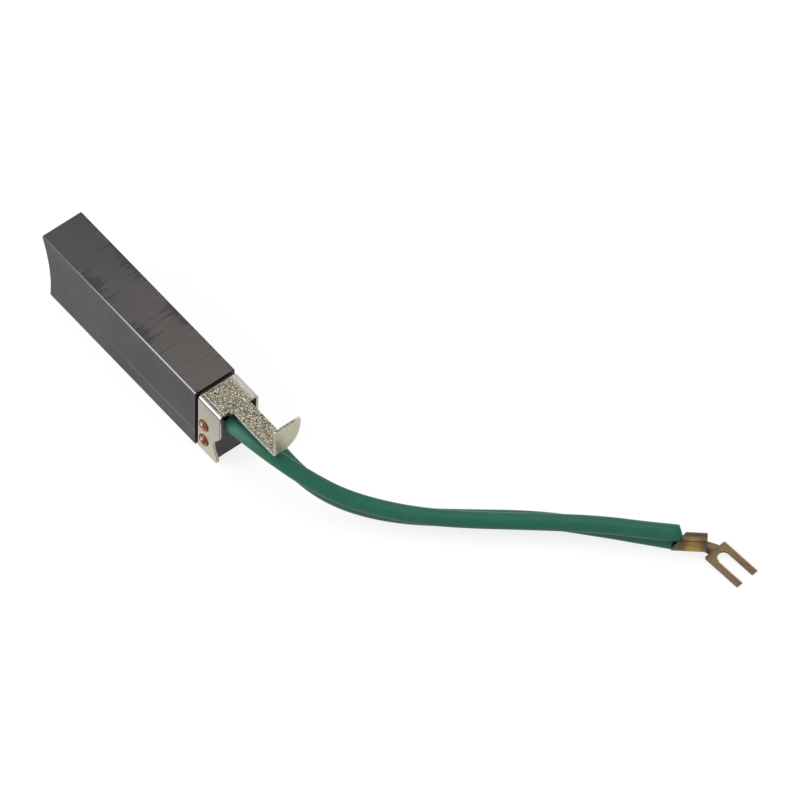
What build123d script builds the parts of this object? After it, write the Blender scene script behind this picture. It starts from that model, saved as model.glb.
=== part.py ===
from build123d import *
import math
import os

# Carbon brush for a slip ring or a commutator: a graphite block that lies on its long side, a sheet
# metal clip riveted over its rear end, two sleeved leads and one fork terminal for an M4 stud.
# Millimetres. X runs from the contact face to the leads, Y across the block, Z up from the side it
# lies on. The origin is the middle of the bottom of the brush without its leads.

# Carbon block
block_width = 16.0
block_height = 27.0
body_length = 79.2
seat_length = 9.0
edge_bevel = 0.4
contact_radius = 55.0
contact_axis_height = 5.4
score_height = 7.3
score_depth = 0.25

# Clip, pressed from one sheet
sheet = 1.0
bend_radius = 0.6
clip_clearance = 0.1
clip_sink = 0.1
shoulder_gap = 1.4
cheek_length = 11.0
cheek_foot_height = 1.2
cheek_waist = 3.2
cheek_foot_step = 1.3
cheek_toe_radius = 0.8
waist_height = 9.5
shoulder_height = 16.6
tongue_width = 7.1
tongue_offset = 0.5
tongue_reach = 22.0
tongue_tip_width = 5.0
tongue_taper_length = 7.0
notch_radius = 1.0
tab_rise = 12.1
tab_width = 10.2
tab_corner_radius = 1.0

# Rivets
rivet_inset = 2.9
rivet_shank = 3.0
rivet_bore = 1.6
rivet_head = 4.6
rivet_head_thickness = 0.5
rivet_clearance = 0.05
rivet_flare = 0.5
rivet_rim_width = 0.5
rivet_rim_roll = 0.15
rivet_drop = 5.4
rivet_pitch = 7.7

# Leads
lead_height = 19.9
lead_spacing = 5.8
sleeve_diameter = 5.6
conductor_diameter = 2.1
sleeve_setback = 2.8
sleeve_gap = 0.3
tamping_diameter = 4.8
tamping_depth = 14.0
tamping_floor = 2.0

# Fork terminal, whose flat barrel is turned in plan from the fork, with the middle of its mouth here
stud_slot = 4.3
fork_width = 9.4
fork_length = 14.8
slot_floor = 2.0
terminal_sheet = 0.9
barrel_diameter = 6.2
barrel_length = 8.5
barrel_mouth = (149.95, 87.6, 5.1)
barrel_heading = 48.5
mouth_slant = 0.72
seam_width = 0.35
seam_turn = 35.0
neck_width = 5.2
neck_root_width = 4.4
neck_reach = 2.1
fork_offset = 1.2
fork_heading = 6.5
fork_pitch = 5.0
tine_edge_radius = 0.25
slot_corner_radius = 1.9
fork_back_bevel = 0.4
tail_depth = 5.0
tail_straight = 1.2
tail_bend = 1.8
conductor_gap = 0.04
tail_entries = {"left": 0.2, "right": -1.5}

# Worked out from the sizes above
block_length = body_length + seat_length
clip_back = body_length + shoulder_gap
clip_front = clip_back + cheek_length
tab_front = clip_front + tongue_reach + sheet / 2
front_shift = -tab_front / 2
side_shift = -block_width / 2
seat_depth = sheet + clip_clearance + clip_sink
clip_top = block_height - clip_sink
tab_top = clip_top + tab_rise
tongue_left = (block_width - tongue_width) / 2 + tongue_offset
upper_rivet_height = lead_height - rivet_drop
lower_rivet_height = upper_rivet_height - rivet_pitch
lead_sides = {"left": -lead_spacing / 2, "right": lead_spacing / 2}
sleeve_start = block_length + sleeve_setback + front_shift

# Each lead leaves the block straight, sags to the surface that the brush lies on and runs along it.
# The left lead lies on the right one. Points are chosen by hand, in the part's own frame.
lead_routes = {
    "left": [(sleeve_start, lead_sides["left"], lead_height), (42.5, -1.9, 20.0), (51.8, 0.1, 19.6),
             (62.8, 4.7, 15.9), (75.0, 12.3, 10.6), (89.0, 24.0, 8.0), (101.5, 36.8, 7.5),
             (117.5, 55.8, 7.6), (131.4, 70.8, 8.2), (141.7, 80.1, 8.5), (147.65, 86.05, 8.37)],
    "right": [(sleeve_start, lead_sides["right"], lead_height), (42.7, 4.0, 18.5), (52.3, 4.4, 14.6),
              (64.5, 8.2, 8.8), (75.5, 15.5, 4.6), (87.6, 26.6, 2.9), (99.5, 40.9, 2.8),
              (114.0, 58.6, 2.8), (128.9, 71.6, 2.8), (139.4, 80.5, 2.8), (146.0, 86.05, 2.8)],
}


def cylinder_between(start, end, diameter):
    span = Vector(end) - Vector(start)
    return extrude(Plane(origin=start, z_dir=span) * Circle(diameter / 2), span.length)


def corner_radii(points):
    radii = []
    for before, corner, after in zip(points, points[1:], points[2:]):
        arrive = Vector(corner) - Vector(before)
        leave = Vector(after) - Vector(corner)
        half_turn = math.radians(arrive.get_angle(leave)) / 2
        radii.append(0.45 * min(arrive.length, leave.length) / math.tan(half_turn))
    return radii


def route_line(points):
    return FilletPolyline(*points, radius=corner_radii(points))


def tube_along(points, diameter):
    line = route_line(points)
    start = Plane(origin=line @ 0, z_dir=line % 0)
    return sweep(start * Circle(diameter / 2), path=line)


def rivet_line(height):
    return Pos(clip_back + rivet_inset, block_width / 2, height) * Rot(90, 0, 0)


def carbon_block():
    section = Rectangle(block_width, block_height)
    section = chamfer(section.vertices(), edge_bevel)
    body = extrude(Plane.YZ * Pos(block_width / 2, block_height / 2) * section, body_length)
    seat = Pos(body_length, seat_depth, 0) * Box(
        seat_length, block_width - 2 * seat_depth, block_height - seat_depth, align=(Align.MIN,) * 3)
    seat = chamfer(seat.edges().filter_by(Axis.X).group_by(Axis.Z)[-1], bend_radius)
    seat = chamfer(seat.edges().group_by(Axis.X)[-1].filter_by(Axis.Y), edge_bevel)
    block = body + seat
    drum_reach = math.sqrt(contact_radius ** 2 - (block_height - contact_axis_height) ** 2)
    block -= Pos(-drum_reach, block_width / 2, contact_axis_height) * Rot(90, 0, 0) * Cylinder(
        contact_radius, 2 * block_width)
    score_side = score_depth * math.sqrt(2)
    block -= Pos(0, 0, score_height) * Rot(45, 0, 0) * Box(2 * body_length, score_side, score_side)
    for height in (upper_rivet_height, lower_rivet_height):
        block -= rivet_line(height) * Cylinder(rivet_shank / 2 + rivet_clearance, 2 * block_width)
    for side in lead_sides.values():
        block -= tamping_hole(side)
    return block


def tamping_hole(side):
    mouth = Pos(block_length - tamping_depth, block_width / 2 + side, lead_height) * Rot(0, 90, 0)
    return mouth * Cylinder(tamping_diameter / 2, tamping_depth, align=(Align.CENTER, Align.CENTER, Align.MIN))


def conductor_root(side):
    centre = block_width / 2 + side
    start = (block_length - tamping_depth + tamping_floor, centre, lead_height)
    end = (block_length + sleeve_setback - sleeve_gap, centre, lead_height)
    return cylinder_between(start, end, conductor_diameter)


def cheek_outline():
    waist = clip_front - cheek_waist
    foot = clip_front - cheek_foot_step
    ankle = cheek_foot_height + cheek_toe_radius
    with BuildSketch(Plane.XZ) as outline:
        with BuildLine():
            back = Polyline((clip_front, shoulder_height), (clip_front, 2 * block_height),
                            (clip_back, 2 * block_height), (clip_back, cheek_foot_height),
                            (foot - cheek_toe_radius, cheek_foot_height))
            toe = TangentArc(back @ 1, (foot, ankle), tangent=(1, 0))
            shin = Spline(toe @ 1, (waist, waist_height), tangents=((0, 1), (0, 1)))
            Spline(shin @ 1, (clip_front, shoulder_height), tangents=((0, 1), (0, 1)))
        make_face()
    return outline.sketch


def clip_saddle():
    cheek_height = clip_top - cheek_foot_height
    span = block_width - 2 * clip_sink
    outer = Rectangle(span, cheek_height)
    outer = fillet(outer.vertices().group_by(Axis.Y)[-1], bend_radius + sheet)
    inner = Rectangle(span - 2 * sheet, cheek_height)
    inner = fillet(inner.vertices().group_by(Axis.Y)[-1], bend_radius)
    middle = Pos(block_width / 2, cheek_foot_height + cheek_height / 2)
    saddle = extrude(Plane.YZ * middle * (outer - Pos(0, -sheet) * inner), 2 * clip_front)
    return saddle & extrude(cheek_outline(), 2 * block_width, both=True)


def tongue_strip():
    middle = sheet / 2
    path = FilletPolyline((clip_back + sheet, 0, clip_top - middle), (tab_front - middle, 0, clip_top - middle),
                          (tab_front - middle, 0, tab_top), radius=bend_radius + middle)
    section = Plane(origin=path @ 0, z_dir=path % 0) * Rectangle(sheet, 2 * block_width)
    return sweep(section, path=path)


def tongue_outline():
    tip = tab_front - sheet - bend_radius
    right = tongue_left + tongue_width
    flare = clip_front + notch_radius
    with BuildSketch() as outline:
        with BuildLine():
            Polyline((clip_front, tongue_left - notch_radius), (clip_back + sheet, tongue_left - notch_radius),
                     (clip_back + sheet, right + notch_radius), (clip_front, right + notch_radius))
            RadiusArc((clip_front, right + notch_radius), (flare, right), -notch_radius)
            Polyline((flare, right), (tip - tongue_taper_length, right), (tip, tongue_left + tongue_tip_width),
                     (tip, tongue_left), (flare, tongue_left))
            RadiusArc((flare, tongue_left), (clip_front, tongue_left - notch_radius), -notch_radius)
        make_face()
    return outline.sketch


def tab_outline():
    right = tongue_left + tab_width
    tip = tongue_left + tongue_tip_width
    bend_height = clip_top + bend_radius
    with BuildSketch(Plane.YZ) as outline:
        with BuildLine():
            sides = Polyline((tip, bend_height), (tip, clip_top - 2 * sheet), (tongue_left, clip_top - 2 * sheet),
                             (tongue_left, tab_top), (right, tab_top), (right, tab_top - tab_corner_radius))
            Spline(sides @ 1, (tip, bend_height), tangents=((0, -1), (-1, -0.35)))
        make_face()
    return fillet(outline.sketch.vertices().sort_by(Axis.Z)[-2:], tab_corner_radius / 2)


def brush_clip():
    tip = tab_front - sheet - bend_radius
    strip = tongue_strip()
    tongue = strip & extrude(tongue_outline(), 2 * block_height)
    tab = strip & Pos(tip, 0, 0) * extrude(tab_outline(), tab_front)
    clip = clip_saddle() + tongue + tab
    for height in (upper_rivet_height, lower_rivet_height):
        clip -= rivet_line(height) * Cylinder(rivet_shank / 2 + rivet_clearance, 2 * block_width)
    return clip


def rivet(height):
    half_grip = block_width / 2 - clip_sink
    rim = half_grip + rivet_head_thickness
    mouth = rivet_bore / 2 + rivet_flare
    lip = rim - rivet_rim_roll
    crest = rivet_head / 2 - rivet_rim_width
    shoulder = half_grip + rivet_rim_roll
    with BuildSketch(Plane.XZ) as profile:
        with BuildLine():
            Polyline((rivet_shank / 2, 0), (rivet_shank / 2, half_grip), (rivet_head / 2, half_grip))
            Polyline((rivet_head / 2, half_grip), (rivet_head / 2, shoulder), (crest, rim), (mouth, lip),
                     (rivet_bore / 2, half_grip - rivet_flare), (rivet_bore / 2, 0),
                     (rivet_shank / 2, 0))
        make_face()
    half = revolve(profile.sketch, Axis.Z)
    return rivet_line(height) * (half + mirror(half, Plane.XY))


def barrel_frame():
    return Plane(origin=barrel_mouth, z_dir=heading(barrel_heading), x_dir=(0, 0, 1))


def heading(degrees):
    return Vector(math.cos(math.radians(degrees)), math.sin(math.radians(degrees)), 0)


def barrel_end():
    return Vector(barrel_mouth) + heading(barrel_heading) * barrel_length


def terminal_floor():
    end = barrel_end()
    floor = end.Z - barrel_diameter / 2
    return Vector(end.X, end.Y, floor)


def fork():
    slot_end = neck_reach + slot_floor
    plate = Pos(neck_reach, fork_offset) * Rectangle(fork_length, fork_width, align=(Align.MIN, Align.CENTER))
    slot = Pos(slot_end, fork_offset) * Rectangle(2 * fork_length, stud_slot, align=(Align.MIN, Align.CENTER))
    slot = fillet(slot.vertices().group_by(Axis.X)[0], slot_corner_radius)
    outline = fillet((plate - slot).vertices().group_by(Axis.X)[-1], tine_edge_radius)
    outline = chamfer(outline.vertices().group_by(Axis.X)[0], fork_back_bevel)
    turn = Rot(0, 0, fork_heading) * Rot(0, fork_pitch, 0)
    return Pos(terminal_floor()) * turn * extrude(outline, terminal_sheet)


def neck():
    across = heading(barrel_heading + 90) * (neck_root_width / 2)
    back = heading(barrel_heading) * -terminal_sheet
    left = heading(fork_heading + 90)
    aside = left * (neck_width / 2)
    base = heading(fork_heading) * (neck_reach + slot_floor / 2) + left * fork_offset
    corners = [back - across, base - aside, base + aside, across, back + across]
    sheet_outline = Polygon(*[(corner.X, corner.Y) for corner in corners], align=None)
    return Pos(terminal_floor()) * extrude(sheet_outline, terminal_sheet)


def barrel():
    reach = barrel_diameter
    wall = Circle(barrel_diameter / 2) - Circle(barrel_diameter / 2 - terminal_sheet)
    frame = barrel_frame()
    tube = frame * Pos(0, 0, -reach) * extrude(wall, reach + barrel_length)
    far_up = heading(barrel_heading + 90) * math.cos(math.radians(seam_turn))
    far_up += Vector(0, 0, math.sin(math.radians(seam_turn)))
    mouth = Plane(origin=barrel_mouth, z_dir=heading(barrel_heading) - far_up * mouth_slant)
    tube = split(tube, bisect_by=mouth, keep=Keep.TOP)
    seam = Pos(barrel_diameter / 2, 0, 0) * Box(barrel_diameter, seam_width, 4 * barrel_length)
    return tube - frame * Rot(0, 0, seam_turn) * seam


def fork_terminal():
    return barrel() + neck() + fork()


def conductor_tail(route, rise, entry_depth):
    end = Vector(*route[-1])
    ahead = (end - Vector(*route[-2])).normalized()
    axis = heading(barrel_heading)
    entry = Vector(barrel_mouth) + Vector(0, 0, rise) + axis * entry_depth
    line = FilletPolyline(end, end + ahead * tail_straight, entry, entry + axis * tail_depth, radius=tail_bend)
    start = Plane(origin=line @ 0, z_dir=line % 0)
    return sweep(start * Circle(conductor_diameter / 2), path=line)


def placed(shape):
    return Pos(front_shift, side_shift, 0) * shape


def build():
    nodes = {
        "carbon_block": placed(carbon_block()),
        "brush_clip": placed(brush_clip()),
        "upper_rivet": placed(rivet(upper_rivet_height)),
        "lower_rivet": placed(rivet(lower_rivet_height)),
        "fork_terminal": fork_terminal(),
    }
    for name, side in lead_sides.items():
        root = conductor_root(side)
        nodes[name + "_conductor_root"] = placed(root)
        nodes[name + "_tamping_plug"] = placed(tamping_hole(side) - root)
    rise = conductor_diameter / 2 + conductor_gap / 2
    for name, route in lead_routes.items():
        sleeve = tube_along(route, sleeve_diameter)
        length = route_line(route).length
        radii = ", ".join(f"{radius:.0f}" for radius in corner_radii(route))
        expected = length * math.pi * sleeve_diameter ** 2 / 4
        print(f"{name} lead: {length:.1f} mm, radii {radii} mm, volume {sleeve.volume / expected:.4f} of expected")
        nodes[name + "_lead_sleeve"] = sleeve
        nodes[name + "_conductor_tail"] = conductor_tail(route, rise, tail_entries[name])
        rise = -rise
    return nodes


os.makedirs("parts", exist_ok=True)
for node, shape in build().items():
    export_step(shape, f"parts/{node}.step")
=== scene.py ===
import math

import bmesh
import bpy
from mathutils import Matrix, Quaternion, Vector


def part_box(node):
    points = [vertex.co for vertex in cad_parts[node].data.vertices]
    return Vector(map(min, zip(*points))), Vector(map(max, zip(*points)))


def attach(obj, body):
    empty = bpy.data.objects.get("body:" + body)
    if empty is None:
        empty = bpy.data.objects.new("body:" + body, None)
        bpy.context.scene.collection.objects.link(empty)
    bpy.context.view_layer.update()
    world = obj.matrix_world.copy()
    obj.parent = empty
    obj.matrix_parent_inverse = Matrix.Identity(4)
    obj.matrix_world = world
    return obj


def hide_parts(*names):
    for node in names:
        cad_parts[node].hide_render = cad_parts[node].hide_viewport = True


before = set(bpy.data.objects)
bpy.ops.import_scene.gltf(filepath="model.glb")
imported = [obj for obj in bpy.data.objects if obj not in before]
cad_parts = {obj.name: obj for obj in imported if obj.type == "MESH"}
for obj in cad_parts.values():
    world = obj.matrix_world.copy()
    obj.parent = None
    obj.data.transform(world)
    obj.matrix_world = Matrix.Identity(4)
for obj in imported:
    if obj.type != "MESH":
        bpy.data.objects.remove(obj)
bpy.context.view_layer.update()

# A carbon brush lying on its long side: graphite block, riveted sheet clip, two sleeved leads, fork terminal.
# Metres, in the part's own frame.

# Camera
camera_azimuth = math.radians(51.05)
camera_elevation = math.radians(53.71)
camera_roll = math.radians(0.78)
camera_distance = 8.0
camera_lens = 1130.08
aim_point = Vector((0.05073, 0.05257, 0.00368))

# Leads: routes from the block to the terminal, near those of part.py
sleeve_diameter = 0.0056
sleeve_wall = 0.0012
sleeve_recess = 0.0012
sleeve_sides = 56
cut_edge = 0.00015
lead_routes = {
    "left": [(0.0334, -0.0029, 0.0199), (0.0425, -0.0019, 0.0200), (0.0518, -0.0002, 0.0196),
             (0.0628, 0.0041, 0.0159), (0.0750, 0.0117, 0.0106), (0.0890, 0.0235, 0.0080),
             (0.1015, 0.0365, 0.0075), (0.1175, 0.0557, 0.0076), (0.1314, 0.0709, 0.0082),
             (0.1417, 0.0801, 0.0085), (0.15025, 0.08895, 0.00833)],
    "right": [(0.03395, 0.0029, 0.0199), (0.0427, 0.0040, 0.0185), (0.0523, 0.0041, 0.0146),
              (0.0645, 0.0076, 0.0088), (0.0755, 0.0149, 0.0046), (0.0876, 0.0261, 0.0029),
              (0.0995, 0.0406, 0.0028), (0.1140, 0.0585, 0.0028), (0.1289, 0.0717, 0.0028),
              (0.1394, 0.0805, 0.0028), (0.1475, 0.0873, 0.0028)],
}
route_order = 3
route_steps = 24

# Copper rope inside the leads
rope_diameter = 0.0021
rope_lay = 0.016
rope_step = 0.0004
wire_count = 37
wire_diameter = 0.00032
wire_sides = 7
wire_unevenness = 0.35
golden_turn = math.pi * (3 - math.sqrt(5))
root_points = 4
# Points of the tails: ahead of the middle of the barrel's mouth, aside of it and above it
tail_routes = {
    "left": [(-0.0032, 0.0007, 0.00325), (-0.0016, 0.0006, 0.0030), (-0.0004, 0.0003, 0.0020),
             (0.0004, 0.0001, 0.00122), (0.0016, 0.0, 0.00107), (0.0052, 0.0, 0.00107)],
    "right": [(-0.0045, 0.0021, -0.0023), (-0.0028, 0.00175, -0.00225), (-0.0017, 0.0011, -0.0018),
              (-0.0008, 0.0004, -0.0012), (0.0008, 0.0, -0.00107), (0.0052, 0.0, -0.00107)],
}

# The sleeves' ends are cut to the barrel's mouth: lean aside, lean upwards, reach ahead of the mouth's middle
sleeve_cuts = {"left": [(0.0, -0.5, -0.0018), (0.30, 0.21, 0.00135)], "right": []}
sleeve_trim = 0.003

# The terminal, stamped from one sheet: its barrel, the neck and the fork
terminal_sheet = 0.0009
barrel_radius = 0.0031
barrel_length = 0.0085
barrel_mouth = Vector((0.14995, 0.0876, 0.0051))
barrel_turn = math.radians(48.5)
barrel_ahead = Vector((math.cos(barrel_turn), math.sin(barrel_turn), 0))
barrel_aside = Vector((-math.sin(barrel_turn), math.cos(barrel_turn), 0))
mouth_reach = 0.0007
mouth_slant = 0.85
seam_turn = math.radians(35)
seam_half = math.radians(0.4)
neck_arc = math.radians(48)
neck_half = 0.0026
neck_sink = 0.0001
fork_turn = math.radians(6.5)
fork_pitch = math.radians(5)
fork_rear = 0.0021
fork_aside = 0.0012
fork_length = 0.01478
fork_half = 0.00467
slot_half = 0.00215
slot_floor = 0.0020
slot_steps = 28
rear_bevel = 0.0004
tip_bevel = 0.00018

# Rounding of the pressed and stamped edges
clip_edge = 0.00012
terminal_edge = 0.00015
edge_steps = 3
sharp_turn = math.radians(40)
merge_reach = 1e-6
flat_turn = math.radians(1.0)

# Rims of the hollow rivets: radius, and depth below the crest
rivet_shank = 0.0015
rivet_bore = 0.00078
rivet_pitch = 0.0077
rivet_sides = 64
bore_depth = 0.0030
head_depth = 0.0005
rivet_rim = [(0.00082, 0.0018), (0.00095, 0.0010), (0.00112, 0.00055), (0.00130, 0.00022), (0.00150, 0.00005),
             (0.00175, 0.0), (0.00200, 0.00003), (0.00220, 0.00014), (0.0023, 0.00032), (0.0023, 0.0005)]
rivet_place = (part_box("upper_rivet")[0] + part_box("lower_rivet")[1]) / 2

# Marks on the block. Smears: middle and reach along it. Scratches: along and across the top.
block_top = 0.027
block_half = 0.0080
block_ends = (-0.057, 0.022)
shoulder_place = 0.02205
far_smear = (-0.0325, 0.0110)
near_smear = (-0.0065, 0.0070)
stain_start = 0.0020
fringe_places = (0.0062, 0.0078)
# Where the edges get a painted highlight and are worn
highlit_bare_places = (-0.045, 0.0)
crest_heights = (0.02662, 0.02676)
line_top = 0.020
highlit_bare_height = 0.026
top_scratch_width = 0.00018
top_scratches = [((-0.0060, 0.0006), (-0.0030, -0.0046)), ((0.0005, -0.0001), (0.0071, 0.0004)),
                 ((0.0080, -0.0046), (0.0167, -0.0020)), ((-0.0180, 0.0035), (-0.0150, 0.0065))]

# Marks on the clip. Scratches: along and up the near cheek.
cheek_face = -0.0079
cheek_heights = (0.024, 0.004)
cheek_side_place = -0.0062
cheek_lit_place = -0.00745
cheek_lit_reach = 0.00028
cheek_scratch_width = 0.00016
cheek_scratches = [((0.0266, 0.0106), (0.0318, 0.0102)), ((0.0243, 0.0042), (0.0252, 0.0046))]
fold_place = -0.0063
fold_reach = 0.00030
fold_crest_aside = 0.0004
fold_crest_reach = 0.00024
far_reflection_side = (0.0042, 0.0064)
tab_start = 0.050
# Where part of the tab is painted pale as painted light
pale_patch_lean = 0.35
pale_patch_places = (0.0085, 0.0130)

# Marks on the rivets, painted shade and a painted highlight: radii, and the side of the rim with the painted
# highlight, measured behind its middle
bore_shade = (0.0013, 0.0010)
rim_shade = (0.00205, 0.0022)
rim_highlight_radius = 0.00115
rim_highlight_reach = 0.00028
rim_highlight_side = (-0.0006, -0.0010)

# Marks on the leads and the terminal, among them painted light, painted shade and painted highlights
painted_light_places = (0.048, 0.034)
gold_highlight_place = Vector((0.1546, 0.0893, 0.0056))
gold_highlight_reach = (0.0036, 0.0012)
barrel_shade_heights = (0.0060, 0.0078)
root_aside = -0.0018
root_above = -0.0018
root_reach = (0.0016, 0.0008)
highlight_inset = 0.00020
highlight_overlap = 0.0001
highlight_width = 0.00034


# Building node trees

def feed(tree, socket, value):
    """Link a socket to another one, or set its own value."""
    if isinstance(value, bpy.types.NodeSocket):
        tree.links.new(value, socket)
    elif socket.type == "RGBA" and len(value) == 3:
        socket.default_value = (*value, 1.0)
    else:
        socket.default_value = value


def add(tree, kind, inputs=None, **settings):
    node = tree.nodes.new(kind)
    for name, value in settings.items():
        setattr(node, name, value)
    for name, value in (inputs or {}).items():
        feed(tree, node.inputs[name], value)
    return node


def maths(tree, operation, a, b=0.0):
    return add(tree, "ShaderNodeMath", {0: a, 1: b}, operation=operation).outputs[0]


def plus(tree, a, b):
    return maths(tree, "ADD", a, b)


def minus(tree, a, b):
    return maths(tree, "SUBTRACT", a, b)


def times(tree, a, b):
    return maths(tree, "MULTIPLY", a, b)


def vectors(tree, operation, *inputs):
    """A step of vector maths: a vector, or a value where the step gives one."""
    node = add(tree, "ShaderNodeVectorMath", dict(enumerate(inputs)), operation=operation)
    return node.outputs["Value" if operation in ("DOT_PRODUCT", "LENGTH", "DISTANCE") else "Vector"]


def parted(tree, vector):
    return add(tree, "ShaderNodeSeparateXYZ", {"Vector": vector}).outputs


def places(tree, scale=(1, 1, 1), turn=(0, 0, 0), source="Object"):
    coordinates = add(tree, "ShaderNodeTexCoord").outputs[source]
    inputs = {"Vector": coordinates, "Scale": scale, "Rotation": turn}
    return add(tree, "ShaderNodeMapping", inputs).outputs[0]


def grain(tree, vector, scale, detail=3.0, roughness=0.5, distortion=0.0):
    inputs = {"Vector": vector, "Scale": scale, "Detail": detail, "Roughness": roughness,
              "Distortion": distortion}
    return add(tree, "ShaderNodeTexNoise", inputs).outputs[0]


def ramp(tree, factor, low, high, start=0.0, end=1.0):
    inputs = {"Value": factor, "From Min": low, "From Max": high, "To Min": start, "To Max": end}
    return add(tree, "ShaderNodeMapRange", inputs).outputs[0]


def blend(tree, factor, a, b):
    return add(tree, "ShaderNodeMix", {0: factor, 6: a, 7: b}, data_type="RGBA").outputs[2]


def bumps(tree, height, distance, strength, below=None):
    inputs = {"Height": height, "Distance": distance, "Strength": strength}
    if below is not None:
        inputs["Normal"] = below
    return add(tree, "ShaderNodeBump", inputs).outputs[0]


def facing(tree, toward, low, high):
    """1 where the surface faces a direction."""
    normal = add(tree, "ShaderNodeNewGeometry").outputs["Normal"]
    return ramp(tree, vectors(tree, "DOT_PRODUCT", normal, Vector(toward).normalized()), low, high)


def band(tree, value, centre, reach):
    """1 at the centre, less on either side."""
    return ramp(tree, maths(tree, "ABSOLUTE", minus(tree, value, centre)), reach, 0.0)


def scratch(tree, here, start, end, width, faded_from):
    """1 on a straight scratch between two places, fading towards its ends."""
    start, end = Vector(start), Vector(end)
    ahead = (end - start).normalized()
    half = (end - start).length / 2
    off = vectors(tree, "SUBTRACT", here, start)
    travel = vectors(tree, "DOT_PRODUCT", off, ahead)
    away = vectors(tree, "LENGTH", vectors(tree, "CROSS_PRODUCT", off, ahead))
    from_middle = maths(tree, "ABSOLUTE", minus(tree, travel, half))
    return times(tree, ramp(tree, away, width, 0.0), ramp(tree, from_middle, half, faded_from * half))


def scratched(tree, here, colour, lines, width, strength, mark_colour, faded_from=0.6):
    for start, end in lines:
        mark = times(tree, scratch(tree, here, start, end, width, faded_from), strength)
        colour = blend(tree, mark, colour, mark_colour)
    return colour


def new_finish(name):
    material = bpy.data.materials.new(name)
    material.use_nodes = True
    return material, material.node_tree


def cover(tree, inputs):
    """Feed the shader of a finish."""
    for name, value in inputs.items():
        feed(tree, tree.nodes["Principled BSDF"].inputs[name], value)


# Graphite

def graphite_stains(tree, here, cloud):
    """1 on the dark stains of the top: wisps across it, gathered at its long edges and at two smears."""
    parts = parted(tree, here)
    along, across = parts["X"], parts["Y"]
    wisps = grain(tree, places(tree, (1.0, 0.10, 1.0), (0, 0, 0.08)), scale=800.0, detail=4.0, roughness=0.62)
    rim = ramp(tree, maths(tree, "ABSOLUTE", across), stain_start, block_half)
    smears = maths(tree, "MAXIMUM", band(tree, along, *far_smear), band(tree, along, *near_smear))
    fringe = ramp(tree, across, *fringe_places, start=0.07, end=0.19)
    reach = times(tree, rim, plus(tree, fringe, times(tree, smears, 0.31)))
    unevenness = times(tree, minus(tree, cloud, 0.5), 0.20)
    return ramp(tree, plus(tree, plus(tree, wisps, reach), unevenness), 0.60, 0.76)


def highlit_bare_edges(tree, here, rear):
    """1 on the edges with a painted highlight, which are also worn: the top's near edge and the scored line's
    upper lip.
    """
    parts = parted(tree, here)
    along, height = parts["X"], parts["Z"]
    wear_and_highlight = ramp(tree, along, *highlit_bare_places, start=0.10, end=0.9)
    bevels = times(tree, facing(tree, (0, -1, 1), 0.96, 0.99), wear_and_highlight)
    lips = plus(tree, ramp(tree, height, *crest_heights), maths(tree, "LESS_THAN", height, line_top))
    lips = times(tree, lips, ramp(tree, height, line_top, highlit_bare_height, start=0.22))
    return times(tree, times(tree, bevels, lips), minus(tree, 1.0, rear))


def ground_graphite():
    """Graphite ground lengthwise: warmer towards the clip, stained and scratched, with painted shade on its
    sides and behind its shoulder, and a painted highlight on edges that are also worn.
    """
    cool_top, warm_top = (0.050, 0.047, 0.054), (0.116, 0.101, 0.092)
    shaded_cool_side, shaded_warm_side = (0.034, 0.036, 0.041), (0.029, 0.029, 0.029)
    dusty, stained, shaded = (0.098, 0.092, 0.092), (0.020, 0.019, 0.022), (0.018, 0.017, 0.017)
    pale_speck, dark_speck = (0.16, 0.15, 0.145), (0.030, 0.028, 0.028)
    # The pale bluish colour of the worn edges is a painted highlight.
    scored, bare_and_highlit = (0.30, 0.26, 0.24), (0.50, 0.58, 0.62)
    material, tree = new_finish("ground_graphite")
    here = places(tree)
    along = parted(tree, here)["X"]
    up = facing(tree, (0, 0, 1), 0.8, 0.95)
    warmth = ramp(tree, along, *block_ends)
    # The sides take a darker tone than the top: painted shade against the front lamp.
    shaded_side_colour = blend(tree, warmth, shaded_cool_side, shaded_warm_side)
    top_colour = blend(tree, warmth, cool_top, warm_top)
    colour = blend(tree, up, shaded_side_colour, top_colour)
    cloud = grain(tree, here, scale=70.0)
    colour = blend(tree, ramp(tree, cloud, 0.40, 0.70, end=0.35), colour, dusty)
    stains = times(tree, graphite_stains(tree, here, cloud), times(tree, up, 0.72))
    colour = blend(tree, stains, colour, stained)
    lines = [[(*end, block_top) for end in line] for line in top_scratches]
    colour = scratched(tree, here, colour, lines, top_scratch_width, strength=0.35, mark_colour=scored)
    speck = grain(tree, here, scale=2600.0, detail=2.0)
    colour = blend(tree, ramp(tree, speck, 0.58, 0.72, end=0.35), colour, pale_speck)
    colour = blend(tree, ramp(tree, speck, 0.42, 0.30, end=0.35), colour, dark_speck)
    # Painted shade on the shoulder and the rear face, under the clip.
    rear = maths(tree, "GREATER_THAN", along, shoulder_place)
    colour = blend(tree, times(tree, rear, 0.85), colour, shaded)
    edges = highlit_bare_edges(tree, here, rear)
    ground = grain(tree, places(tree, (0.05, 1.0, 1.0)), scale=2400.0)
    rough = ramp(tree, ground, 0.3, 0.7, start=0.46, end=0.52)
    relief = bumps(tree, speck, distance=0.00003, strength=0.4)
    cover(tree, {"Base Color": blend(tree, edges, colour, bare_and_highlit),
                 "Roughness": minus(tree, rough, times(tree, edges, 0.2)),
                 "Specular IOR Level": 0.28,
                 "Normal": bumps(tree, ground, distance=0.00001, strength=0.3, below=relief)})
    return material


# Plating of the clip

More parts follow.
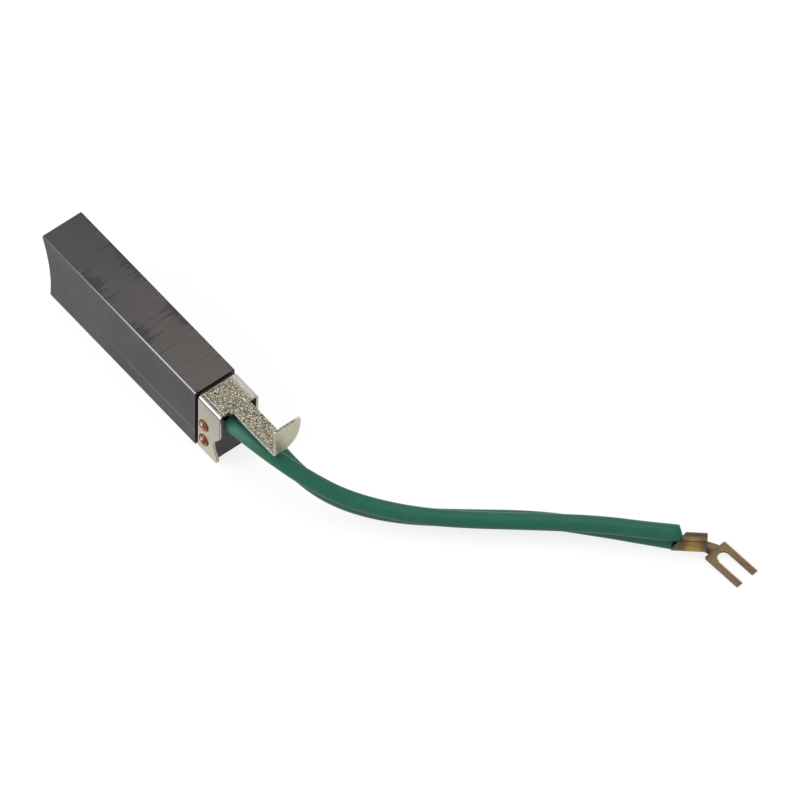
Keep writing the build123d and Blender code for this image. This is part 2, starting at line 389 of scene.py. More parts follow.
def spangled_top(tree, here, glint):
    """The clip's flat top: dark and bright flakes, the brightest painted glints, a painted reflection at its
    far side, and painted shade and a painted highlight by the near fold.
    """
    dark_flake, flake, glinting_flake = (0.060, 0.054, 0.038), (0.31, 0.285, 0.215), (0.80, 0.74, 0.62)
    plain, painted_fold_shade, painted_highlight = (0.52, 0.51, 0.47), (0.03, 0.027, 0.022), (0.72, 0.68, 0.58)
    across = parted(tree, here)["Y"]
    colour = blend(tree, ramp(tree, glint, 0.42, 0.76), dark_flake, flake)
    # The brightest flakes are painted glints.
    colour = blend(tree, ramp(tree, glint, 0.74, 0.88), colour, glinting_flake)
    # Painted reflection: a pale plain band at the far side of the top, by the bend.
    colour = blend(tree, ramp(tree, across, *far_reflection_side, end=0.8), colour, plain)
    # Painted shade in a dark line and a painted highlight in a light line beside the near fold.
    colour = blend(tree, band(tree, across, fold_place, fold_reach), colour, painted_fold_shade)
    crest = band(tree, across, fold_crest_aside + fold_place, fold_crest_reach)
    return blend(tree, times(tree, crest, 0.7), colour, painted_highlight)


def smooth_plating(tree, here, cloud, mottle):
    """The clip's cheeks and bends: clouded, a little mottled, with painted shade round the bends, a painted
    highlight on the near bend and a painted reflection on the far one.
    """
    upper, lower = (0.36, 0.33, 0.265), (0.52, 0.49, 0.37)
    clouded, mottled = (0.52, 0.49, 0.41), (0.22, 0.20, 0.155)
    painted_bend_shade, painted_near_highlight, painted_far_reflection = (0.17, 0.17, 0.16), (0.50, 0.51, 0.50), (0.48, 0.48, 0.46)
    colour = blend(tree, ramp(tree, parted(tree, here)["Z"], *cheek_heights), upper, lower)
    colour = blend(tree, ramp(tree, cloud, 0.45, 0.75, end=0.5), colour, clouded)
    colour = blend(tree, ramp(tree, mottle, 0.35, 0.65, end=0.12), colour, mottled)
    # Painted shade round the bends, a painted highlight on the near bend, a painted reflection on the far
    # bend.
    colour = blend(tree, facing(tree, (0, 0, 1), 0.20, 0.45), colour, painted_bend_shade)
    colour = blend(tree, facing(tree, (0, -0.75, 1), 0.975, 0.997), colour, painted_near_highlight)
    return blend(tree, facing(tree, (0, 1, 1), 0.75, 0.90), colour, painted_far_reflection)


def tab_and_pale_patch(tree, here, rearward):
    """1 on the tab's rear face, and 1 on the part of it painted pale and made duller as painted light."""
    along, across, height = parted(tree, here)
    tab = times(tree, rearward, maths(tree, "GREATER_THAN", along, tab_start))
    leaned = plus(tree, across, times(tree, height, pale_patch_lean))
    return tab, times(tree, tab, ramp(tree, leaned, *pale_patch_places))


def cheek_edge(tree, here, rearward, colour):
    """The near cheek's cut edge: dark, with a lit line along it."""
    dark, lit = (0.10, 0.095, 0.08), (0.62, 0.59, 0.50)
    across = parted(tree, here)["Y"]
    edge = times(tree, rearward, maths(tree, "LESS_THAN", across, cheek_side_place))
    colour = blend(tree, times(tree, edge, 0.9), colour, dark)
    line = times(tree, edge, band(tree, across, cheek_lit_place, cheek_lit_reach))
    return blend(tree, line, colour, lit)


def spangled_plating():
    """Tinned sheet: spangled where it lies flat, smooth on its cheeks; the tab painted lighter, and part of
    it pale and duller, as painted light.
    """
    painted_tab_light, painted_pale_tab, scored = (0.60, 0.56, 0.42), (0.76, 0.71, 0.52), (0.10, 0.09, 0.075)
    material, tree = new_finish("spangled_plating")
    here = places(tree)
    flake_colours = add(tree, "ShaderNodeTexVoronoi", {"Vector": here, "Scale": 3300.0}).outputs["Color"]
    flake = add(tree, "ShaderNodeSeparateColor", {"Color": flake_colours}).outputs[0]
    mottle = grain(tree, here, scale=2400.0, roughness=0.7, distortion=0.6)
    cloud = grain(tree, here, scale=140.0, detail=4.0)
    rearward = facing(tree, (1, 0, 0), 0.6, 0.8)
    tab, dulling = tab_and_pale_patch(tree, here, rearward)
    # The tab is painted lighter, and part of it pale and duller: painted light.
    smooth = blend(tree, tab, smooth_plating(tree, here, cloud, mottle), painted_tab_light)
    smooth = blend(tree, dulling, smooth, painted_pale_tab)
    smooth = cheek_edge(tree, here, rearward, smooth)
    lines = [[(along, cheek_face, height) for along, height in line] for line in cheek_scratches]
    smooth = scratched(tree, here, smooth, lines, cheek_scratch_width, strength=0.7, mark_colour=scored)
    flat = facing(tree, (0, 0, 1), 0.95, 0.995)
    spangle = spangled_top(tree, here, plus(tree, times(tree, flake, 0.45), times(tree, mottle, 0.75)))
    rough = plus(tree, ramp(tree, cloud, 0.3, 0.7, start=0.20, end=0.32), times(tree, flat, 0.12))
    relief = bumps(tree, flake, distance=0.00002, strength=0.35)
    cover(tree, {"Base Color": blend(tree, flat, smooth, spangle),
                 "Roughness": plus(tree, rough, times(tree, dulling, 0.15)),
                 "Metallic": minus(tree, 1.0, times(tree, dulling, 0.85)),
                 "Normal": bumps(tree, mottle, distance=0.00003, strength=0.35, below=relief)})
    return material


# Copper, sleeves and brass

def rivet_distances(tree, here):
    """How far a place lies behind the nearer rivet's axis, and how far from that axis."""
    parts = parted(tree, here)
    behind = minus(tree, parts["X"], rivet_place.x)
    above = minus(tree, maths(tree, "ABSOLUTE", minus(tree, parts["Z"], rivet_place.z)), rivet_pitch / 2)
    return behind, maths(tree, "SQRT", plus(tree, times(tree, behind, behind), times(tree, above, above)))


def rolled_copper():
    """The rivets: bright rims, tarnished in places, with painted shade in the bore and round the rim, and a
    painted highlight on one side of the rim.
    """
    bright, tarnished, painted_highlight = (0.38, 0.150, 0.095), (0.16, 0.055, 0.034), (0.98, 0.86, 0.78)
    painted_bore_shade, painted_rim_shade = (0.035, 0.014, 0.010), (0.13, 0.045, 0.028)
    material, tree = new_finish("rolled_copper")
    here = places(tree)
    behind, radius = rivet_distances(tree, here)
    dulling = grain(tree, here, scale=900.0, detail=4.0, roughness=0.6)
    colour = blend(tree, ramp(tree, dulling, 0.36, 0.62), bright, tarnished)
    # Painted shade in the bore and round the rim, and a painted highlight on one side of the rim.
    colour = blend(tree, ramp(tree, radius, *bore_shade), colour, painted_bore_shade)
    colour = blend(tree, ramp(tree, radius, *rim_shade, end=0.85), colour, painted_rim_shade)
    rim_highlight_spot = times(tree, ramp(tree, behind, *rim_highlight_side), band(tree, radius, rim_highlight_radius, rim_highlight_reach))
    cover(tree, {"Base Color": blend(tree, rim_highlight_spot, colour, painted_highlight),
                 "Roughness": ramp(tree, dulling, 0.3, 0.7, start=0.16, end=0.32),
                 "Metallic": 1.0,
                 "Normal": bumps(tree, grain(tree, here, scale=1300.0), distance=0.00005, strength=0.6)})
    return material


def strand_copper():
    """The wires of the ropes: copper painted very dark as painted shade, darker where it is tarnished."""
    # Both colours are darkened as painted shade.
    dark, tarnished = (0.060, 0.034, 0.026), (0.022, 0.014, 0.011)
    material, tree = new_finish("strand_copper")
    dulling = grain(tree, places(tree), scale=500.0, detail=4.0, roughness=0.6)
    cover(tree, {"Base Color": blend(tree, ramp(tree, dulling, 0.35, 0.7), dark, tarnished),
                 "Roughness": ramp(tree, dulling, 0.3, 0.7, start=0.3, end=0.5),
                 "Metallic": 1.0})
    return material


def tamped_powder():
    """Copper powder tamped round the ropes: dull grains, painted very dark as painted shade."""
    # Both colours are darkened as painted shade.
    dark, light = (0.020, 0.012, 0.010), (0.10, 0.055, 0.040)
    material, tree = new_finish("tamped_powder")
    grains = grain(tree, places(tree), scale=4200.0, detail=4.0, roughness=0.7)
    cover(tree, {"Base Color": blend(tree, ramp(tree, grains, 0.35, 0.7), dark, light),
                 "Roughness": 0.65,
                 "Metallic": 0.5,
                 "Normal": bumps(tree, grains, distance=0.0001, strength=0.9)})
    return material


def extruded_sleeve():
    """Green rubber sleeve: fine lines along it, a bloom and a few flecks, painted paler at the block as
    painted light, and painted shade underneath.
    """
    deep, green, bloomed = (0.005, 0.104, 0.054), (0.009, 0.142, 0.082), (0.060, 0.205, 0.145)
    pale, underside, flecked = (0.085, 0.250, 0.200), (0.010, 0.050, 0.030), (0.12, 0.30, 0.23)
    material, tree = new_finish("extruded_sleeve")
    here = places(tree)
    lines = grain(tree, places(tree, (1.0, 26.0, 1.0), source="UV"), scale=6.0, detail=4.0, roughness=0.6)
    bloom = grain(tree, here, scale=160.0, detail=4.0, roughness=0.6)
    flecks = grain(tree, places(tree, (8.0, 60.0, 1.0), source="UV"), scale=9.0, detail=2.0)
    colour = blend(tree, ramp(tree, lines, 0.3, 0.7), deep, green)
    colour = blend(tree, ramp(tree, bloom, 0.5, 0.78, end=0.25), colour, bloomed)
    # Painted light at the block, where the clip shades the sleeve.
    colour = blend(tree, ramp(tree, parted(tree, here)["X"], *painted_light_places, end=0.55), colour, pale)
    # Painted shade on the downward-facing side.
    colour = blend(tree, times(tree, facing(tree, (0, 0, -1), -0.35, 0.35), 0.7), colour, underside)
    relief = bumps(tree, lines, distance=0.00006, strength=0.5)
    relief = bumps(tree, grain(tree, here, scale=1800.0), distance=0.00002, strength=0.5, below=relief)
    cover(tree, {"Base Color": blend(tree, ramp(tree, flecks, 0.66, 0.76, end=0.5), colour, flecked),
                 "Roughness": ramp(tree, bloom, 0.3, 0.7, start=0.36, end=0.50),
                 "Specular IOR Level": 0.3,
                 "Normal": relief})
    return material


def darkened_brass():
    """Brass darkened by heat and spotted, with painted shade on the barrel's top and at the neck's root, a
    painted gold highlight on one side of the barrel, and painted highlights along the fork's edges.
    """
    dark, light, painted_top_shade = (0.120, 0.083, 0.050), (0.165, 0.118, 0.066), (0.085, 0.062, 0.038)
    painted_gold_highlight, spotted = (0.36, 0.235, 0.060), (0.070, 0.052, 0.034)
    painted_root_shade, painted_highlight = (0.030, 0.022, 0.015), (0.78, 0.71, 0.52)
    material, tree = new_finish("darkened_brass")
    here = places(tree)
    heat = grain(tree, here, scale=210.0, roughness=0.55)
    spots = grain(tree, here, scale=1100.0, detail=4.0, roughness=0.7)
    colour = blend(tree, ramp(tree, heat, 0.42, 0.66), dark, light)
    height = parted(tree, here)["Z"]
    # Painted shade on the barrel's top.
    colour = blend(tree, ramp(tree, height, *barrel_shade_heights, end=0.8), colour, painted_top_shade)
    # Painted highlight: a gold spot on one side of the barrel.
    gold_highlight = ramp(tree, vectors(tree, "DISTANCE", here, gold_highlight_place), *gold_highlight_reach)
    colour = blend(tree, times(tree, gold_highlight, ramp(tree, heat, 0.35, 0.55, start=0.4)), colour, painted_gold_highlight)
    colour = blend(tree, ramp(tree, spots, 0.52, 0.72, end=0.5), colour, spotted)
    # Painted shade at the neck's root, where the barrel meets the fork.
    from_root = vectors(tree, "DISTANCE", here, mouth_place(barrel_length, root_aside, root_above))
    colour = blend(tree, ramp(tree, from_root, *root_reach, end=0.8), colour, painted_root_shade)
    # Painted highlights along the tines' left edges.
    colour = scratched(tree, here, colour, highlit_tine_edges(), highlight_width, strength=1.0, mark_colour=painted_highlight,
                       faded_from=0.96)
    cover(tree, {"Base Color": colour,
                 "Roughness": ramp(tree, spots, 0.3, 0.7, start=0.22, end=0.38),
                 "Metallic": 1.0,
                 "Normal": bumps(tree, spots, distance=0.00003, strength=0.35)})
    return material


# Building pieces

def put(name, data):
    piece = bpy.data.objects.new(name, data)
    bpy.context.scene.collection.objects.link(piece)
    return piece


def dress(piece, slot, material, *nodes):
    piece.data.materials.clear()
    piece.data.materials.append(material)
    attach(piece, "root")
    if nodes:
        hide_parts(*nodes)
    return piece


def mesh_of(name, shape):
    mesh = bpy.data.meshes.new(name)
    shape.to_mesh(mesh)
    shape.free()
    return mesh


def evaluated_mesh(piece):
    """A plain mesh of a curve, which is then removed."""
    mesh = bpy.data.meshes.new_from_object(piece.evaluated_get(bpy.context.evaluated_depsgraph_get()))
    bpy.data.objects.remove(piece)
    return mesh


def add_wall(shape, lower, upper):
    """Smooth faces between two rings of corners."""
    faces = []
    for step in range(len(lower)):
        after = (step + 1) % len(lower)
        faces.append(shape.faces.new((lower[step], lower[after], upper[after], upper[step])))
        faces[-1].smooth = True
    return faces


# Leads

def route_curve(name, route):
    curve = bpy.data.curves.new(name, "CURVE")
    curve.dimensions = "3D"
    curve.resolution_u = route_steps
    spline = curve.splines.new("NURBS")
    spline.points.add(len(route) - 1)
    for point, place in zip(spline.points, route):
        point.co = (*place, 1.0)
    spline.order_u = route_order
    spline.use_endpoint_u = True
    return put(name, curve)


def route_points(name, route):
    mesh = evaluated_mesh(route_curve(name, route))
    points = [vertex.co.copy() for vertex in mesh.vertices]
    bpy.data.meshes.remove(mesh)
    return points


def directions(points):
    ahead = [(after - before).normalized() for before, after in zip(points, points[1:])]
    middle = [(a + b).normalized() for a, b in zip(ahead, ahead[1:])]
    return [ahead[0]] + middle + [ahead[-1]]


def carried_frames(points):
    """A direction across the route and one above it at each point, carried along without a twist."""
    tangents = directions(points)
    side = tangents[0].cross(Vector((0, 0, 1))).normalized()
    frames = []
    for tangent in tangents:
        side = (side - tangent * side.dot(tangent)).normalized()
        frames.append((side, tangent.cross(side)))
    return frames


def mouth_place(ahead, aside, above):
    """A place at the terminal: ahead of the middle of the barrel's mouth, aside of it and above it."""
    return barrel_mouth + barrel_ahead * ahead + barrel_aside * aside + Vector((0, 0, above))


def sleeve_rings(points, radius, cuts):
    """Rings of a sleeve: point, slide along the tube and radius, from inside one end to inside the other."""
    bore = radius - sleeve_wall
    end = len(points) - 1
    lip = [(cut_edge, radius), (0.0, radius - cut_edge), (0.0, bore + cut_edge), (cut_edge, bore),
           (sleeve_recess, bore)]
    trim = sleeve_trim if cuts else 0.0
    rings = [(0, slide, ring_radius) for slide, ring_radius in reversed(lip)]
    rings += [(index, 0.0, radius) for index in range(1, end) if (points[index] - points[end]).length > trim]
    return rings + [(end, -slide, ring_radius) for slide, ring_radius in lip]


def cut_back(place, tangent, cuts):
    """How far an end's point moves back along the tube to lie behind every cut."""
    slide = 0.0
    for aside, above, reach in cuts:
        across = barrel_ahead + barrel_aside * aside + Vector((0, 0, above))
        slide = min(slide, (reach - (place - barrel_mouth).dot(across)) / tangent.dot(across))
    return slide


def sleeve_corners(points, rings, cuts):
    """Places of the corners of each ring."""
    frames = carried_frames(points)
    tangents = directions(points)
    corners = []
    for index, slide, radius in rings:
        across, above = frames[index]
        ring = []
        for step in range(sleeve_sides):
            turn = 2 * math.pi * step / sleeve_sides
            place = points[index] + (across * math.cos(turn) + above * math.sin(turn)) * radius
            back = cut_back(place, tangents[index], cuts) if index == len(points) - 1 else 0.0
            ring.append(place + tangents[index] * (slide + back))
        corners.append(ring)
    return corners


def chart_wall(chart, faces, near, far):
    """Map a wall of the sleeve: travel along it in turns of the tube, and share of the way round."""
    for step, face in enumerate(faces):
        spots = ((near, step), (near, step + 1), (far, step + 1), (far, step))
        for corner, (travel, turn) in zip(face.loops, spots):
            corner[chart].uv = (travel / (2 * math.pi * sleeve_diameter), turn / sleeve_sides)


def sleeve_mesh(name, points, radius, cuts):
    shape = bmesh.new()
    chart = shape.loops.layers.uv.new("UVMap")
    travel = [0.0]
    for before, after in zip(points, points[1:]):
        travel.append(travel[-1] + (after - before).length)
    rings = sleeve_rings(points, radius, cuts)
    travels = [travel[index] + slide for index, slide, ring_radius in rings]
    loops = [[shape.verts.new(place) for place in ring] for ring in sleeve_corners(points, rings, cuts)]
    for lower, upper, near, far in zip(loops, loops[1:], travels, travels[1:]):
        chart_wall(chart, add_wall(shape, lower, upper), near, far)
    for closing in (loops[0], loops[-1]):
        shape.faces.new(closing)
    bmesh.ops.recalc_face_normals(shape, faces=shape.faces)
    return mesh_of(name, shape)


# Wire ropes

def wire_offset(tree, given, index):
    """Where a wire runs beside the rope's line: spread evenly over the section, and turned by the lay."""
    share = maths(tree, "DIVIDE", plus(tree, index, 0.5), given["Wires"])
    reach = times(tree, maths(tree, "SQRT", share), minus(tree, given["Rope radius"], given["Wire radius"]))
    uneven = add(tree, "FunctionNodeRandomValue", {"ID": index, "Seed": given["Seed"]}, data_type="FLOAT")
    turn = plus(tree, times(tree, index, golden_turn), times(tree, uneven.outputs[1], given["Unevenness"]))
    travel = add(tree, "GeometryNodeSplineParameter").outputs["Length"]
    turn = plus(tree, turn, times(tree, maths(tree, "DIVIDE", travel, given["Lay"]), 2 * math.pi))
    normal = add(tree, "GeometryNodeInputNormal").outputs[0]
    tangent = add(tree, "GeometryNodeInputTangent").outputs[0]
    moves = []
    for way, direction in (("COSINE", normal), ("SINE", vectors(tree, "CROSS_PRODUCT", tangent, normal))):
        inputs = {0: direction, "Scale": times(tree, reach, maths(tree, way, turn))}
        moves.append(add(tree, "ShaderNodeVectorMath", inputs, operation="SCALE").outputs[0])
    return vectors(tree, "ADD", *moves)


def wire_rope_tree():
    """Geometry Nodes: a rope of twisted wires along a curve."""
    tree = bpy.data.node_groups.new("wire_rope", "GeometryNodeTree")
    face = tree.interface
    face.new_socket("Geometry", in_out="OUTPUT", socket_type="NodeSocketGeometry")
    for name, kind in (("Geometry", "NodeSocketGeometry"), ("Wires", "NodeSocketInt"),
                       ("Wire radius", "NodeSocketFloat"), ("Rope radius", "NodeSocketFloat"),
                       ("Lay", "NodeSocketFloat"), ("Unevenness", "NodeSocketFloat"),
                       ("Seed", "NodeSocketInt"), ("Finish", "NodeSocketMaterial")):
        face.new_socket(name, in_out="INPUT", socket_type=kind)
    given = add(tree, "NodeGroupInput").outputs
    line = add(tree, "GeometryNodeResampleCurve",
               {"Curve": given["Geometry"], "Length": rope_step}, mode="LENGTH")
    wires = add(tree, "GeometryNodeDuplicateElements",
                {"Geometry": line.outputs[0], "Amount": given["Wires"]}, domain="SPLINE")
    offset = wire_offset(tree, given, wires.outputs["Duplicate Index"])
    laid = add(tree, "GeometryNodeSetPosition", {"Geometry": wires.outputs["Geometry"], "Offset": offset})
    section = add(tree, "GeometryNodeCurvePrimitiveCircle",
                  {"Resolution": wire_sides, "Radius": given["Wire radius"]})
    rope = add(tree, "GeometryNodeCurveToMesh",
               {"Curve": laid.outputs[0], "Profile Curve": section.outputs[0], "Fill Caps": True})
    real = add(tree, "GeometryNodeRealizeInstances", {"Geometry": rope.outputs[0]})
    smooth = add(tree, "GeometryNodeSetShadeSmooth", {"Geometry": real.outputs[0]})
    done = add(tree, "GeometryNodeSetMaterial", {"Geometry": smooth.outputs[0], "Material": given["Finish"]})
    add(tree, "NodeGroupOutput", {"Geometry": done.outputs[0]})
    return tree


def wire_rope(name, route, tree, finish, seed):
    line = route_curve(name + "_line", route)
    modifier = line.modifiers.new("rope", "NODES")
    modifier.node_group = tree
    sizes = {"Wires": wire_count, "Wire radius": wire_diameter / 2, "Rope radius": rope_diameter / 2,
             "Lay": rope_lay, "Unevenness": wire_unevenness, "Seed": seed, "Finish": finish}
    for item in tree.interface.items_tree:
        if item.in_out == "INPUT" and item.name in sizes:
            modifier[item.identifier] = sizes[item.name]
    mesh = evaluated_mesh(line)
    mesh.name = name
    return put(name, mesh)


# Terminal

def add_sheet(shape, grid, thickness):
    """A closed sheet whose middle lies on a grid of places."""
    rows, columns = len(grid), len(grid[0])
    sides = [[], []]
    for row in range(rows):
        for column in range(columns):
            along = grid[min(row + 1, rows - 1)][column] - grid[max(row - 1, 0)][column]
            across = grid[row][min(column + 1, columns - 1)] - grid[row][max(column - 1, 0)]
            normal = along.cross(across).normalized() * (thickness / 2)
            sides[0].append(shape.verts.new(grid[row][column] + normal))
            sides[1].append(shape.verts.new(grid[row][column] - normal))
    for row in range(rows - 1):
        for column in range(columns - 1):
            corners = [row * columns + column, row * columns + column + 1,
                       (row + 1) * columns + column + 1, (row + 1) * columns + column]
            for side in sides:
                shape.faces.new([side[corner] for corner in corners])
    rim = list(range(columns))
    rim += [row * columns + columns - 1 for row in range(1, rows)]
    rim += [(rows - 1) * columns + column for column in reversed(range(columns - 1))]
    rim += [row * columns for row in reversed(range(1, rows - 1))]
    for here, after in zip(rim, rim[1:] + rim[:1]):
        shape.faces.new((sides[0][here], sides[0][after], sides[1][after], sides[1][here]))


def barrel_grid(rows=14, columns=48):
    """The barrel, rolled round from one side of its seam to the other, with a slanted mouth."""
    middle = barrel_radius - terminal_sheet / 2
    round_turn = 2 * math.pi - 2 * seam_half
    turns = [-seam_turn + seam_half + round_turn * step / (columns - 1) for step in range(columns)]
    grid = []
    for row in range(rows):
        line = []
        for turn in turns:
            aside, above = middle * math.sin(turn), middle * math.cos(turn)
            start = mouth_slant * (aside * math.cos(seam_turn) + above * math.sin(seam_turn)) - mouth_reach
            line.append(mouth_place(start + (barrel_length - start) * row / (rows - 1), aside, above))
        grid.append(line)
    return grid


def fork_place(ahead, aside, above):
    """A place on the fork: ahead of the end of the barrel, aside and above the sheet's underside."""
    turn = Matrix.Rotation(fork_turn, 3, "Z") @ Matrix.Rotation(fork_pitch, 3, "Y")
    return mouth_place(barrel_length, 0, -barrel_radius) + turn @ Vector((ahead, aside, above))


def neck_grid(rows=8, columns=9):
    """The neck, easing from the barrel's round bottom to the flat fork."""
    middle = barrel_radius - terminal_sheet / 2
    grid = []
    for row in range(rows):
        share = row / (rows - 1)
        ease = share * share * (3 - 2 * share)
        line = []
        for column in range(columns):
            side = 2 * column / (columns - 1) - 1
            turn = math.pi - side * neck_arc
            start = mouth_place(barrel_length - terminal_sheet + share * fork_rear / 2,
                                middle * math.sin(turn), middle * math.cos(turn))
            end = fork_place(fork_rear + slot_floor / 2 * share, fork_aside + side * neck_half,
                             terminal_sheet / 2 - neck_sink * share)
            line.append(start.lerp(end, ease))
        grid.append(line)
    return grid


def fork_outline():
    """The fork in its own plane, from the rear right corner round the tines and back."""
    tip = fork_rear + fork_length
    centre = fork_rear + slot_floor + slot_half
    turns = [math.pi * step / slot_steps for step in range(slot_steps + 1)]
    arch = [(centre - slot_half * math.sin(turn), -slot_half * math.cos(turn)) for turn in turns]
    right = [(fork_rear, rear_bevel - fork_half), (fork_rear + rear_bevel, -fork_half),
             (tip - tip_bevel, -fork_half), (tip, tip_bevel - fork_half),
             (tip, -slot_half - tip_bevel), (tip - tip_bevel, -slot_half)]
    left = [(ahead, -aside) for ahead, aside in reversed(right)]
    return [(ahead, aside + fork_aside) for ahead, aside in right + arch + left]


def highlit_tine_edges():
    """Where the left edges of both tines get a painted highlight."""
    tip = fork_rear + fork_length
    outer, inner = fork_aside + fork_half - highlight_inset, fork_aside - slot_half - highlight_inset
    ends = (((fork_rear - highlight_overlap, outer), (tip, outer)),
            ((fork_rear + slot_floor + slot_half, inner), (tip, inner)))
    return [[fork_place(*end, terminal_sheet) for end in line] for line in ends]


def stamped_terminal():
    shape = bmesh.new()
    add_sheet(shape, barrel_grid(), terminal_sheet)
    add_sheet(shape, neck_grid(), terminal_sheet)
    outline = fork_outline()
    below, above = [[shape.verts.new(fork_place(*place, height)) for place in outline]
                    for height in (0.0, terminal_sheet)]
    shape.faces.new(below)
    shape.faces.new(above)
    for step in range(len(outline)):
        shape.faces.new((below[step - 1], below[step], above[step], above[step - 1]))
    bmesh.ops.recalc_face_normals(shape, faces=shape.faces)
    return shape


# Clip and rivets

def merged_copy(node):
    """A node's mesh with its loose triangles joined and its flat faces whole."""
    shape = bmesh.new()
    shape.from_mesh(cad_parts[node].data)
    bmesh.ops.remove_doubles(shape, verts=shape.verts, dist=merge_reach)
    bmesh.ops.dissolve_limit(shape, angle_limit=flat_turn, verts=shape.verts, edges=shape.edges)
    return shape


def softened(name, shape, edge, clamped=True):
    """A piece with its sharp edges rounded and its flat faces shaded flat."""
    for face in shape.faces:
        face.smooth = True
    piece = put(name, mesh_of(name, shape))
    bevel = piece.modifiers.new("edges", "BEVEL")
    bevel.width = edge
    bevel.segments = edge_steps
    bevel.limit_method = "ANGLE"
    bevel.angle_limit = sharp_turn
    bevel.use_clamp_overlap = clamped
    weights = piece.modifiers.new("flat_faces", "WEIGHTED_NORMAL")
    weights.keep_sharp = True
    split = piece.modifiers.new("even_triangles", "TRIANGULATE")
    split.ngon_method = "BEAUTY"
    split.min_vertices = 5
    split.keep_custom_normals = True
    return piece


def rolled_rivet(name, node):
    """A hollow rivet with its rims rolled over, turned about a line along Y."""
    low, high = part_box(node)
    centre = (low + high) / 2
    half = (high.y - low.y) / 2
    ends = [(rivet_bore, bore_depth), *rivet_rim, (rivet_shank, head_depth)]
    profile = [(radius, inset - half) for radius, inset in ends]
    profile += [(radius, half - inset) for radius, inset in reversed(ends)]
    turns = [2 * math.pi * step / rivet_sides for step in range(rivet_sides)]
    shape = bmesh.new()
    loops = [[shape.verts.new(centre + Vector((radius * math.cos(turn), place, radius * math.sin(turn))))
              for turn in turns] for radius, place in profile]
    for lower, upper in zip(loops, loops[1:] + loops[:1]):
        add_wall(shape, lower, upper)
    bmesh.ops.recalc_face_normals(shape, faces=shape.faces)
    return put(name, mesh_of(name, shape))


# Camera, finishes, leads and terminal

toward_camera = Vector((math.sin(camera_azimuth) * math.cos(camera_elevation),
                        -math.cos(camera_azimuth) * math.cos(camera_elevation),
                        math.sin(camera_elevation)))
camera_turn = toward_camera.to_track_quat("Z", "Y") @ Quaternion((0, 0, 1), camera_roll)
camera = put("camera", bpy.data.cameras.new("camera"))
camera.data.lens = camera_lens
camera.location = aim_point + toward_camera * camera_distance
camera.rotation_euler = camera_turn.to_euler()
bpy.context.scene.camera = camera

graphite = ground_graphite()
plating = spangled_plating()
copper = rolled_copper()
strands = strand_copper()
powder = tamped_powder()
green = extruded_sleeve()
brass = darkened_brass()

rope = wire_rope_tree()
tails = {}
for seed, side in enumerate(lead_routes):
    low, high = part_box(side + "_conductor_root")
    centre = (low + high) / 2
    root_length = high.x + sleeve_recess - low.x
    root_route = [(low.x + root_length * step / (root_points - 1), centre.y, centre.z)
                  for step in range(root_points)]
    root = wire_rope(side + "_rope_root", root_route, rope, strands, seed)
    dress(root, "copper_strand", strands, side + "_conductor_root")
    tail_route = [mouth_place(*place) for place in tail_routes[side]]
    tails[side] = wire_rope(side + "_rope_tail", tail_route, rope, strands, seed + len(lead_routes))
    dress(tails[side], "copper_strand", strands, side + "_conductor_tail")

terminal = softened("stamped_fork_terminal", stamped_terminal(), terminal_edge, clamped=False)
dress(terminal, "terminal_brass", brass, "fork_terminal")

for side, route in lead_routes.items():
    points = route_points(side + "_route", route)
    tube = sleeve_mesh(side + "_sleeve", points, sleeve_diameter / 2, sleeve_cuts[side])
    sleeve = put(side + "_sleeve", tube)
    dress(sleeve, "green_sleeve", green, side + "_lead_sleeve")

# Clip, rivets and block

clip = softened("pressed_clip", merged_copy("brush_clip"), clip_edge)
dress(clip, "clip_steel", plating, "brush_clip")
for node in ("upper_rivet", "lower_rivet"):
    dress(rolled_rivet("rolled_" + node, node), "rivet_copper", copper, node)

for node, slot, finish in (("carbon_block", "carbon", graphite),
                           ("left_tamping_plug", "copper_powder", powder),
                           ("right_tamping_plug", "copper_powder", powder)):
    dress(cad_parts[node], slot, finish)


# Floor, lamps and world

def white_rays(tree):
    """1 for the rays that see the background."""
    rays = add(tree, "ShaderNodeLightPath").outputs
    clear = maths(tree, "MAXIMUM", rays["Is Glossy Ray"], rays["Is Transmission Ray"])
    return maths(tree, "MAXIMUM", rays["Is Camera Ray"], clear)


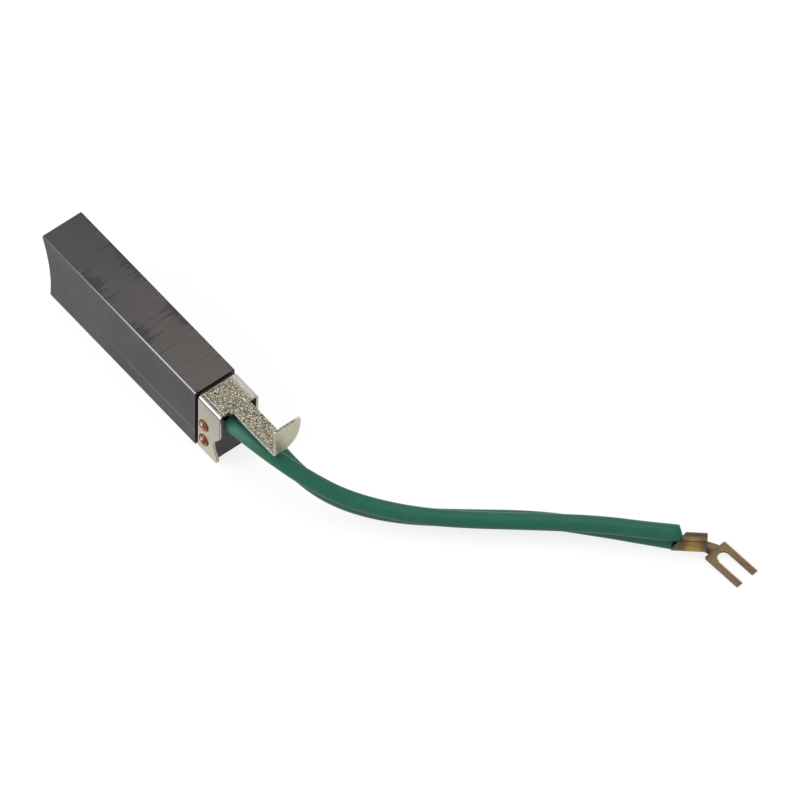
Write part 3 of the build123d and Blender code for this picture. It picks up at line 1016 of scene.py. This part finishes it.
def paper_floor():
    """Pale paper, lit a little from itself where it is seen, so that it is white but keeps the shadow."""
    material, tree = new_finish("paper_floor")
    cover(tree, {"Base Color": (0.9, 0.9, 0.9), "Roughness": 0.9, "Specular IOR Level": 0.1})
    shader = tree.nodes["Principled BSDF"].outputs[0]
    pale = add(tree, "ShaderNodeBsdfDiffuse", {"Color": (0.30, 0.30, 0.30)}).outputs[0]
    glow = add(tree, "ShaderNodeEmission", {"Color": (1, 1, 1), "Strength": 0.8}).outputs[0]
    paper = add(tree, "ShaderNodeAddShader", {0: pale, 1: glow}).outputs[0]
    both = add(tree, "ShaderNodeMixShader", {0: white_rays(tree), 1: shader, 2: paper}).outputs[0]
    feed(tree, tree.nodes["Material Output"].inputs["Surface"], both)
    return material


def soft_lamp(name, toward, distance, size, power):
    lamp = bpy.data.lights.new(name, "AREA")
    lamp.shape = "DISK"
    lamp.size = size
    lamp.energy = power
    holder = put(name, lamp)
    direction = Vector(toward).normalized()
    holder.location = aim_point + direction * distance
    holder.rotation_euler = direction.to_track_quat("Z", "Y").to_euler()


floor_half = 1.5
floor_corners = [(-floor_half, -floor_half, 0), (floor_half, -floor_half, 0),
                 (floor_half, floor_half, 0), (-floor_half, floor_half, 0)]
floor_mesh = bpy.data.meshes.new("floor")
floor_mesh.from_pydata(floor_corners, [], [(0, 1, 2, 3)])
floor = put("floor", floor_mesh)
floor.data.materials.append(paper_floor())

soft_lamp("front_lamp", toward=(-0.46, -0.81, 0.36), distance=0.9, size=0.45, power=3.0)
soft_lamp("overhead_lamp", toward=(-0.15, -0.05, 1.0), distance=1.2, size=1.3, power=4.2)

sky_on_object = 0.5
sky_seen = 1.0
world = bpy.data.worlds.new("studio")
bpy.context.scene.world = world
world.use_nodes = True
sky = world.node_tree
background = sky.nodes["Background"]
feed(sky, background.inputs["Color"], (1, 1, 1))
feed(sky, background.inputs["Strength"], ramp(sky, white_rays(sky), 0.0, 1.0, sky_on_object, sky_seen))
bpy.context.scene.view_settings.view_transform = "Standard"
